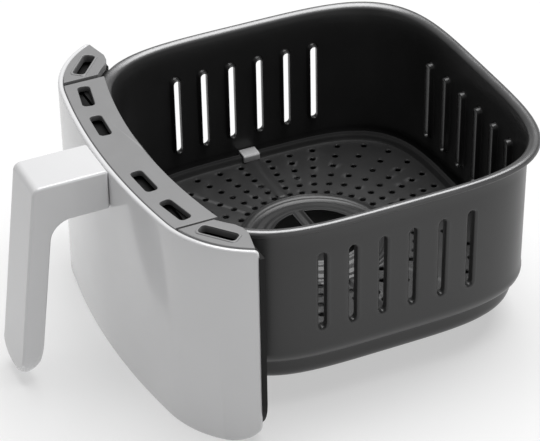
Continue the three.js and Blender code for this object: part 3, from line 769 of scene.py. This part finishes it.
# %% Four clips
BUMPER_WIDTH = 11.6
bumper_top = PLATE_RIM + 1.9
bumper_section = [
    (PLATE_HALF - 6.6, PLATE_FLOOR + 0.4), (PLATE_HALF - 5.1, PLATE_FLOOR + 0.5),
    (PLATE_HALF - 3.9, PLATE_RIM + 0.3), (PLATE_HALF + 0.3, PLATE_RIM + 0.3),
    (PLATE_HALF + 0.35, PLATE_FLOOR - 2.6), (PLATE_HALF + 1.4, PLATE_FLOOR - 1.2),
    (PLATE_HALF + 2.9, PLATE_RIM - 0.8), (PLATE_HALF + 2.9, bumper_top - 0.4),
    (PLATE_HALF + 2.2, bumper_top), (PLATE_HALF - 5.6, bumper_top), (PLATE_HALF - 6.6, bumper_top - 1),
]
half_bumper = BUMPER_WIDTH / 2
for i, side in enumerate(("right", "back", "left", "front")):
    turn = Matrix.Rotation(math.radians(90 * i), 3, "Z")
    bumper = prism(
        f"bumper_{side}", bumper_section, -half_bumper, half_bumper,
        lambda a, b, depth, turn=turn: turn @ Vector((a, -depth, b)),
    )
    round_edges(bumper, 0.45, 3, 30)
    close_up(bumper, 60)
    hand_over(bumper, "crisper", "silicone", [f"plate_bumper_{side}"])

# %% [markdown]
# ## Front panel
# The panel is a moulding of one wall thickness that follows a wide arc and then a tighter one at each end.
# It is easiest to make flat. The outline is drawn as the panel would look unrolled, given its wall, rounded
# on every edge, sliced into narrow strips and then wrapped onto the curve, so the bend stays smooth.

# %% The plan curve, measured along its length
PANEL_FRONT = -143.5
PANEL_RADIUS = 480.0
CORNER_RADIUS = 68.0
CORNER_START = 80.0
PANEL_END = -98.7
PANEL_WALL = 3.4
PANEL_TOP = 124.7
PANEL_BOTTOM = -13.3
PANEL_CORNER = 13.0

arc_turn = math.asin(CORNER_START / PANEL_RADIUS)
arc_length = PANEL_RADIUS * arc_turn
corner_x = (PANEL_RADIUS - CORNER_RADIUS) * math.sin(arc_turn)
corner_y = PANEL_FRONT + PANEL_RADIUS - (PANEL_RADIUS - CORNER_RADIUS) * math.cos(arc_turn)
corner_turn = math.asin((PANEL_END - corner_y) / CORNER_RADIUS) + math.pi / 2 - arc_turn
panel_half_length = arc_length + CORNER_RADIUS * corner_turn
print("unrolled panel", round(2 * panel_half_length, 1), "mm long")


def on_panel(along, inset):
    """The plan point at a length from the middle, moved inwards."""
    side = math.copysign(1, along)
    length = abs(along)
    if length <= arc_length:
        turn = length / PANEL_RADIUS
        reach = PANEL_RADIUS - inset
        return (side * reach * math.sin(turn), PANEL_FRONT + PANEL_RADIUS - reach * math.cos(turn))
    turn = arc_turn + (length - arc_length) / CORNER_RADIUS
    reach = CORNER_RADIUS - inset
    return (side * (corner_x + reach * math.sin(turn)), corner_y - reach * math.cos(turn))


def corner_length(x):
    """The length along the tight arc at which the panel reaches an X."""
    turn = math.asin((x - corner_x) / CORNER_RADIUS)
    if corner_turn + arc_turn > math.pi / 2:
        turn = min(turn, corner_turn + arc_turn)
    return arc_length + CORNER_RADIUS * (turn - arc_turn)


def slice_up(piece, cuts, across):
    """Slices a piece by planes square to an axis, so that it can bend there. Caps are triangles first."""
    shape = bmesh.new()
    shape.from_mesh(piece.data)
    bmesh.ops.triangulate(shape, faces=[face for face in shape.faces if len(face.verts) > 4])
    for value in cuts:
        bmesh.ops.bisect_plane(
            shape,
            geom=[*shape.verts, *shape.edges, *shape.faces],
            dist=1e-7,
            plane_co=Vector(across) * value * MM,
            plane_no=across,
        )
    shape.to_mesh(piece.data)
    shape.free()


# %% Unrolled, rounded, sliced and wrapped
panel_end_x = on_panel(panel_half_length, 0)[0]
lower_corner = []
for across, up in arc(0, PANEL_CORNER, PANEL_CORNER, -90, 0, 12):
    x = panel_end_x - PANEL_CORNER + across
    lower_corner.append((min(corner_length(x), panel_half_length), PANEL_BOTTOM + up))
lower_corner[-1] = (panel_half_length, lower_corner[-1][1])
UPPER_CORNER = 3.0
upper_corner = arc(panel_half_length - UPPER_CORNER, PANEL_TOP - UPPER_CORNER, UPPER_CORNER, 0, 90, 5)
half_outline = lower_corner + upper_corner
panel_outline = half_outline + [(-along, z) for along, z in reversed(half_outline)]
panel = prism("front_panel_moulding", panel_outline, 0, PANEL_WALL, lambda a, b, depth: (a, depth, b))
round_edges(panel, 1.6, 4, 60)
STRIP = 3.0
strips = int(panel_half_length / STRIP)
slice_up(panel, [i * STRIP for i in range(-strips, strips + 1)], (1, 0, 0))
for vertex in panel.data.vertices:
    along, inset, z = vertex.co / MM
    x, y = on_panel(along, inset)
    vertex.co = Vector((x, y, z)) * MM
close_up(panel, 50)

# %% [markdown]
# Behind the face stand four posts, which the rear cover's screws bite into. They are turned tubes with a
# rounded mouth, copied to their places by the same tree.

# %% Screw posts
COVER_SCREW_PLACES = [(side * 113, z) for side in (-1, 1) for z in (96, 18)]
COVER_TIP_BACK = -95.4
COVER_WALL = 3.0
post_end = COVER_TIP_BACK - COVER_WALL - 0.3
post_profile = [
    (0, -13), (2, -13), (2, -0.4), (2.4, 0), (3.9, 0), (4.4, -0.6), (4.4, -21.5), (0, -21.5),
]
along_y = Matrix.Rotation(math.radians(-90), 3, "X")
posts = copies(
    "screw_posts", turned("post", post_profile, 20),
    [((x, post_end, z), along_y) for x, z in COVER_SCREW_PLACES], white_plastic,
)
middle_reach = CORNER_RADIUS - PANEL_WALL / 2
for vertex in posts.data.vertices:
    x, y = abs(vertex.co.x) / MM, vertex.co.y / MM
    wall_middle = corner_y - math.sqrt(middle_reach ** 2 - (x - corner_x) ** 2)
    vertex.co.y = max(y, wall_middle) * MM
close_up(posts)
join(panel, posts)
hand_over(panel, "drawer", "white_plastic", ["front_panel"])

# %% [markdown]
# ## Top trim
# A grey moulding fills the crescent between the panel and the basket. It comes in three sections, parted by
# a narrow seam near each end, and the end sections stand a little proud. Rounded slots let the warm air out.
# Each section is a prism of its plan with the vents punched through and every edge rounded.

# %% Three sections
TRIM_UNDER = 120.2
TRIM_TOP = 124.2
TRIM_END_TOP = 125.6
TRIM_INNER = -115.0
TRIM_INNER_RADIUS = 370.0
SEAM_X = 88.0
SEAM_HALF = 1.1
VENT_LENGTH = 23.6
VENT_WIDTH = 7.8
VENT_CORNER = 2.6
MIDDLE_VENTS = [(34, -128.2, 4), (69.5, -123.6, 12)]
END_VENT = (103.6, -111.6, 40)
trim_inset = PANEL_WALL + 0.3


def vent_outline(grow=0.0):
    corner = VENT_CORNER
    x, y = VENT_LENGTH / 2 + grow - corner, VENT_WIDTH / 2 + grow - corner
    return [
        *arc(x, -y, corner, -90, 0, 5), *arc(x, y, corner, 0, 90, 5),
        *arc(-x, y, corner, 90, 180, 5), *arc(-x, -y, corner, 180, 270, 5),
    ]


def edge_points(low, high, steps):
    """Points of the panel's inner edge between two lengths from its middle."""
    return [on_panel(low + (high - low) * i / steps, trim_inset) for i in range(steps + 1)]


def vent_station(x, y, turn, z):
    return ((x, y, z), Matrix.Rotation(math.radians(turn), 3, "Z"))


seam_inner = SEAM_X - SEAM_HALF
spread = math.degrees(math.asin(seam_inner / TRIM_INNER_RADIUS))
seam_length = next(a / 10 for a in range(700, 1100) if on_panel(a / 10, trim_inset)[0] > seam_inner)
middle_outline = [
    *edge_points(-seam_length, seam_length, 48),
    *arc(0, TRIM_INNER + TRIM_INNER_RADIUS, TRIM_INNER_RADIUS, -90 + spread, -90 - spread, 32),
]
trim = prism("top_trim_middle", middle_outline, TRIM_UNDER, TRIM_TOP)
vents = [
    vent_station(side * x, y, side * turn, TRIM_TOP) for side in (-1, 1) for x, y, turn in MIDDLE_VENTS
]
vent_punch = prism("vent", vent_outline(), -12, 8)
cut(trim, copies("vent punches", vent_punch, vents, None))
round_edges(trim, 0.7, 3)
close_up(trim, 50, flat_top=True)
hand_over(trim, "drawer", "grey_plastic", ["top_trim"])

# %% End sections with a lipped vent
END_FACE = TRIM_END_TOP - 0.6
end_back = COVER_TIP_BACK - 0.2
end_inner = [(110, end_back), (104, end_back - 0.8), (99, end_back - 3.6), (94, end_back - 8.4)]
end_start = SEAM_X + SEAM_HALF
start_length = next(a / 10 for a in range(700, 1100) if on_panel(a / 10, trim_inset)[0] > end_start)
stop_length = panel_half_length - 2.2
lip_profile = [(0, -1.5), (0.15, 0.35), (0.6, 0.6), (1.1, 0.45), (1.5, 0), (1.5, -1.5)]
for side, name in ((-1, "left"), (1, "right")):
    outline = [*edge_points(start_length, stop_length, 22), *end_inner, (end_start, end_back - 12.4)]
    section = prism(
        f"trim_{name}_end", outline, TRIM_UNDER, END_FACE,
        lambda a, b, depth, side=side: (side * a, b, depth),
    )
    place = [vent_station(side * END_VENT[0], END_VENT[1], side * END_VENT[2], END_FACE)]
    vent_punch = prism("vent", vent_outline(), -12, 8)
    cut(section, copies("end vent punch", vent_punch, place, None))
    round_edges(section, 1.1, 4)
    rim = hoop("rim", lip_profile, vent_outline, lambda a, b, depth: (a, b, depth))
    rim = copies(f"vent_rim_{name}", rim, place, grey_plastic)
    close_up(section, 50, flat_top=True)
    close_up(rim, 50)
    join(section, rim)
    hand_over(section, "drawer", "grey_plastic", [f"trim_end_{name}"])

# %% [markdown]
# Looking down a vent shows only black. What makes it so can't be seen. This thin dark plate, in the cavity
# between the panel and the rear cover, is not a known part but painted shade: a dark sheet that stands in for
# the shadow down the vents. It is the one piece with no CAD part behind it, so it has no weight and nothing
# can touch it.

# %% Painted vent shade
COVER_BACK = -118.0
COVER_FLAT_HALF = 80.8
COVER_TIP_START = 103.3
SHADE_SHEET_TOP = 118.2
SHADE_SHEET_THICKNESS = 1.2
SHADE_SHEET_CLEAR = 0.6
shade_sheet_inset = PANEL_WALL + SHADE_SHEET_CLEAR
shade_sheet_reach = panel_half_length - 3.4
cover_front = COVER_WALL + SHADE_SHEET_CLEAR
shade_sheet_outline = [
    *(on_panel(shade_sheet_reach * i / 40, shade_sheet_inset) for i in range(-40, 41)),
    (COVER_TIP_START, COVER_TIP_BACK - cover_front), (COVER_FLAT_HALF, COVER_BACK - cover_front),
    (-COVER_FLAT_HALF, COVER_BACK - cover_front), (-COVER_TIP_START, COVER_TIP_BACK - cover_front),
]
shade_sheet = prism("vent_baffle", shade_sheet_outline, SHADE_SHEET_TOP - SHADE_SHEET_THICKNESS, SHADE_SHEET_TOP)
round_edges(shade_sheet, 0.3, 2)
close_up(shade_sheet, 50)
# Near-black plastic, so that the vents read as shade.
shade_sheet.data.materials.append(dark_plastic)
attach(shade_sheet, "drawer")

# %% [markdown]
# ## Handle
# The handle is an L seen from the side: an arm that leaves the panel and a grip that leans outwards. Its
# side outline is given the handle's width, its long edges are rounded and its lower end is drawn in to a
# tongue. The inside is hollow for the steel core, and a lid closes the side that the fingers hold.

# %% The side outline
HANDLE_HALF = 17.1
HANDLE_WALL = 2.6
ARM_ROOT = -143.9
ARM_TOP = 125.4
ARM_UNDER = 99.0
GRIP_TOP_Y = -190.6
GRIP_DEPTH = 13.6
GRIP_BOTTOM = -10.0
GRIP_LEAN = math.radians(7.2)
TONGUE_RADIUS = 15.0
OUTER_END_RADIUS = 6.2
FINGER_END_RADIUS = 7.4          # the end is drawn in mostly on the finger side
KNUCKLE = 5.0
FILLET = 14.0
EDGE_ROUND = 2.0
TONGUE_BLEND = 24.0              # how far up the grip its rounded end is blended in
ROOT_GAP = 0.3
END_TAPER = 2.4                  # how much thinner the grip is at its very end


def grip_outer(z):
    return GRIP_TOP_Y - math.tan(GRIP_LEAN) * (ARM_TOP - z)


def grip_inner(z):
    return grip_outer(z) + GRIP_DEPTH / math.cos(GRIP_LEAN)


def round_point(start, corner, stop, t):
    """A point of the round arc that touches both sides of a corner at start and stop."""
    weight = math.cos((math.pi - (start - corner).angle(stop - corner)) / 2)
    shares = ((1 - t) ** 2, 2 * t * (1 - t) * weight, t * t)
    return (start * shares[0] + corner * shares[1] + stop * shares[2]) / sum(shares)


def rounded(corners, steps=8):
    """Rounds the corners of an outline given as (y, z, radius) by a smooth curve."""
    points = []
    for i, (y, z, radius) in enumerate(corners):
        here = Vector((y, z))
        if radius == 0:
            points.append((y, z))
            continue
        before = (Vector(corners[i - 1][:2]) - here).normalized()
        after = (Vector(corners[(i + 1) % len(corners)][:2]) - here).normalized()
        run = radius / math.tan(before.angle(after) / 2)
        start, stop = here + before * run, here + after * run
        for j in range(steps + 1):
            t = j / steps
            points.append(tuple(round_point(start, here, stop, t)))
    return points


def handle_form(name, inset):
    """The whole handle as a solid, moved inwards by an inset."""
    lean = inset / math.cos(GRIP_LEAN)
    upper, under, bottom = ARM_TOP - inset, ARM_UNDER + inset, GRIP_BOTTOM + inset
    root = ARM_ROOT + (1 if inset else 0)
    outline = rounded([
        (root, upper, 0),
        (grip_outer(upper) + lean, upper, KNUCKLE - inset / 2),
        (grip_outer(bottom) + lean, bottom, OUTER_END_RADIUS - inset),
        (grip_inner(bottom) - lean, bottom, FINGER_END_RADIUS - inset),
        (grip_inner(under) - lean, under, FILLET + inset),
        (root, under, 0),
    ])
    half = HANDLE_HALF - inset
    form = prism(name, outline, -half, half, lambda a, b, depth: (depth, a, b))
    round_edges(form, EDGE_ROUND if not inset else 0.5, 4, 60)
    radius = TONGUE_RADIUS - inset
    slice_up(form, [bottom + TONGUE_BLEND * i / 8 for i in range(1, 9)], (0, 0, 1))
    lifts = [half - radius + radius * math.sin(math.radians(10 * i)) for i in range(9)]
    slice_up(form, [side * x for side in (-1, 1) for x in lifts], (1, 0, 0))
    for vertex in form.data.vertices:
        x, y, z = vertex.co / MM
        beyond = min(max(abs(x) - half + radius, 0), radius)
        lift = radius - math.sqrt(radius * radius - beyond * beyond)
        fade = min(max(1 - (z - bottom) / TONGUE_BLEND, 0), 1)
        y += math.tan(GRIP_LEAN) * lift * fade
        finger_share = min(max((y - grip_outer(z)) / GRIP_DEPTH, 0), 1)
        y -= END_TAPER * finger_share * fade ** 2
        if not inset and abs(y - root) < 0.01:
            y = PANEL_FRONT + PANEL_RADIUS - math.sqrt(PANEL_RADIUS ** 2 - x * x) - ROOT_GAP
        vertex.co = Vector((x, y, z + lift * fade)) * MM
    close_up(form, 60)
    return form


# %% Shell and lid
GAP = 0.3
LID_END = GRIP_BOTTOM + 14


def finger_side(name, inset, end, half):
    """The space on the finger side, down to the end of the lid."""
    under = ARM_UNDER + inset
    lean = inset / math.cos(GRIP_LEAN)
    outline = rounded([
        (ARM_ROOT + 2, under, 0),
        (grip_inner(under) - lean, under, FILLET + inset),
        (grip_inner(end) - lean, end, 0),
        (ARM_ROOT + 2, end, 0),
    ])
    return prism(name, outline, -half, half, lambda a, b, depth: (depth, a, b))


lid_slot = HANDLE_HALF - HANDLE_WALL
handle_shell = handle_form("handle_shell", 0)
cut(handle_shell, handle_form("hollow", HANDLE_WALL))
cut(handle_shell, finger_side("lid opening", HANDLE_WALL, LID_END, lid_slot))
close_up(handle_shell, 50)
hand_over(handle_shell, "drawer", "white_plastic", ["handle_outer_shell"])

GRIP_SCREW_HEIGHTS = {"upper": 74, "lower": 26}
GRIP_SCREW_RADIUS = 1.5
lid = handle_form("handle_lid", 0)
cut(lid, finger_side("lid form", HANDLE_WALL - GAP, LID_END + GAP, lid_slot - GAP), "INTERSECT")
square_to_grip = Matrix.Rotation(-GRIP_LEAN, 3, "X") @ along_y
grip_stations = [((0, grip_inner(z), z), square_to_grip) for z in GRIP_SCREW_HEIGHTS.values()]
SUNK = 1.9
screw_hole = [(0, -8), (1.8, -8), (1.8, -0.1 - SUNK), (3.5, 0), (3.5, 2), (0, 2)]
cut(lid, copies("lid screw holes", turned("hole", screw_hole, 24), grip_stations, None))
round_edges(lid, 0.35, 2, 50)
close_up(lid, 50)
hand_over(lid, "drawer", "white_plastic", ["handle_inner_lid"])

# %% [markdown]
# ## Screws, bolts and rivets
# Every screw is turned from one profile: a domed head, a waist and a shank with thread ridges and a tapered
# tip, with a cross recess punched into the head. Rivets have a wide shallow dome inside the basket and a
# smaller closing head behind the bracket. Each kind is one piece, copied to its stations by the tree.

# %% One screw form
def screw_form(radius, length, sides=20):
    """A cross-head screw along local Z, its seat at zero and its head above."""
    head, height = radius * 2, radius * 1.2
    pitch = radius * 0.45
    thread = []
    turns = int((length - radius * 1.6) / pitch)
    for i in range(turns):
        z = -length + radius * 0.9 + i * pitch
        thread += [(radius * 0.8, z), (radius, z + pitch / 2)]
    crown = [(head, 0), *arc(head - height, 0.15, height, 0, 60, 5), (head * 0.35, height), (0, height)]
    profile = [(0, -length), (radius * 0.35, -length), *thread, (radius * 0.95, -radius * 0.3), *crown]
    form = turned("screw", profile, sides)
    for turn in (0, 90):
        recess = prism(
            "recess", [(-head * 0.55, -radius * 0.14), (head * 0.55, -radius * 0.14),
                       (head * 0.55, radius * 0.14), (-head * 0.55, radius * 0.14)],
            height * 0.45, height * 2,
            lambda a, b, depth, turn=turn: (a, b, depth) if turn == 0 else (-b, a, depth),
        )
        cut(form, recess)
    return form


# %% Every kind at its stations
BACKING_SHEET = 2.0
BACKING_GAP = 0.6
BOLT_PAST_COVER = 3.4            # how much longer a bracket bolt is than the cover is thick
BRACKET_BOLT_PLACES = [(x, z) for x in (-42, 42) for z in (106, 49)]
HANDLE_SCREW_HEIGHT = 112
panel_plate_face = PANEL_FRONT + PANEL_WALL + BACKING_GAP + BACKING_SHEET
towards_front = Matrix.Rotation(math.radians(90), 3, "X")


def four_of(node):
    return [f"{node}_{level}_{side}" for level in ("upper", "lower") for side in ("left", "right")]


fastener_kinds = {
    "cover_screws": (
        screw_form(1.7, 15), [((x, COVER_TIP_BACK + GAP, z), along_y) for x, z in COVER_SCREW_PLACES],
    ),
    "bracket_bolts": (
        screw_form(2.0, COVER_WALL + BOLT_PAST_COVER),
        [((x, COVER_BACK - COVER_WALL - GAP, z), towards_front) for x, z in BRACKET_BOLT_PLACES],
    ),
    "handle_screws": (
        screw_form(1.9, 19),
        [((x, panel_plate_face + GAP, HANDLE_SCREW_HEIGHT), along_y) for x in (-6.5, 6.5)],
    ),
}
nodes_of_kind = {
    "cover_screws": four_of("cover_screw"),
    "bracket_bolts": four_of("bracket_bolt"),
    "handle_screws": ["handle_screw_left", "handle_screw_right"],
}
for kind, (form, stations) in fastener_kinds.items():
    fasteners = copies(kind, form, stations, zinc)
    close_up(fasteners, 40)
    hand_over(fasteners, "drawer", "steel", nodes_of_kind[kind])

# %% Grip screws, sunk in the lid
GRIP_SCREW_SINK = 1.2
grip_screws = copies("grip_screws", screw_form(GRIP_SCREW_RADIUS, 7.5), [
    ((x, y - GRIP_SCREW_SINK * math.cos(GRIP_LEAN), z + GRIP_SCREW_SINK * math.sin(GRIP_LEAN)), turn)
    for (x, y, z), turn in grip_stations
], zinc)
close_up(grip_screws, 40)
hand_over(grip_screws, "drawer", "steel", [f"grip_screw_{place}" for place in GRIP_SCREW_HEIGHTS])

# %% Rivets
RIVET_RADIUS = 2.0
rivet_head = -WALL_HALF + 2.1
BRACKET_WEB = -113.1
RIVET_PLACES = [(x, z) for x in (-36, 36) for z in (94, 62)]
rivet_tail = BRACKET_WEB - GAP
shank = rivet_head - rivet_tail
rivet_profile = [
    (0, -1.3 - shank), (1.6, -1.3 - shank), (2.6, -0.9 - shank), (3.2, -0.15 - shank), (3.2, -shank),
    (RIVET_RADIUS, -shank), (RIVET_RADIUS, 0), (RIVET_RADIUS * 2, 0),
    (3.9, 0.5), (3.3, 1.05), (2.2, 1.4), (0, 1.5),
]
rivets = copies("basket_rivets", turned("rivet", rivet_profile, 28), [
    ((x, rivet_head, z), along_y) for x, z in RIVET_PLACES
], zinc)
close_up(rivets, 30)
hand_over(rivets, "drawer", "steel", four_of("basket_rivet"))
